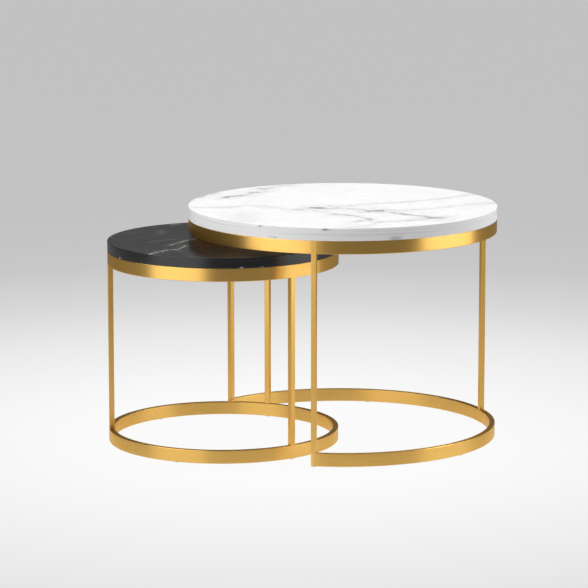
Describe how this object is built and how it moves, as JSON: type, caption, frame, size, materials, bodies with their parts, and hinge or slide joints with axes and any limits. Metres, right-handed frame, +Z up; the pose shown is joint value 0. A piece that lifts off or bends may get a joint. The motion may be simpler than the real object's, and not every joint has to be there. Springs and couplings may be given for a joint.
{
  "type": "nesting tables",
  "caption": "Nest of two round side tables: white and black marble tops on gold bar frames; the small table slides under the large one.",
  "frame": {"origin": "on the floor, at the middle of the nest's footprint with the small table pulled out 237 mm", "axes": "+Z up; +X along the line the small table slides on, from the small table towards the large one"},
  "size_m": [0.7605, 0.6, 0.454],
  "materials": {
    "white_marble": "polished white marble with thin grey veins",
    "black_marble": "polished black marble with sparse white veins",
    "gold_steel": "brass-plated steel, brushed along the bar, satin lacquer",
    "zinc_steel": "bright zinc plate",
    "insert_brass": "machined",
    "cushion_rubber": "matt",
    "glide_plastic": "moulded, fine matt"
  },
  "bodies": {
    "large_table": {"large_cushion_rings": "cushion_rubber", "large_fixing_tab_1": "gold_steel", "large_fixing_tab_2": "gold_steel", "large_fixing_tab_3": "gold_steel", "large_floor_hoop": "gold_steel", "large_front_leg": "gold_steel", "large_glide_1": "glide_plastic", "large_glide_2": "glide_plastic", "large_glide_3": "glide_plastic", "large_glide_4": "glide_plastic", "large_glide_5": "glide_plastic", "large_rear_leg": "gold_steel", "large_screws": "zinc_steel", "large_side_leg": "gold_steel", "large_stone_top": "white_marble", "large_threaded_inserts": "insert_brass", "large_upper_hoop": "gold_steel", "large_washers": "zinc_steel"},
    "small_table": {"small_cushion_rings": "cushion_rubber", "small_fixing_tab_1": "gold_steel", "small_fixing_tab_2": "gold_steel", "small_fixing_tab_3": "gold_steel", "small_floor_hoop": "gold_steel", "small_front_leg": "gold_steel", "small_glide_1": "glide_plastic", "small_glide_2": "glide_plastic", "small_glide_3": "glide_plastic", "small_glide_4": "glide_plastic", "small_glide_5": "glide_plastic", "small_glide_6": "glide_plastic", "small_rear_leg": "gold_steel", "small_screws": "zinc_steel", "small_side_leg": "gold_steel", "small_stone_top": "black_marble", "small_threaded_inserts": "insert_brass", "small_upper_hoop": "gold_steel", "small_washers": "zinc_steel"}
  },
  "joints": [
    {"name": "nest_slide", "type": "slide", "parent": "large_table", "child": "small_table", "axis": [1, 0, 0], "range_m": [-0.323, 0.237]}
  ]
}
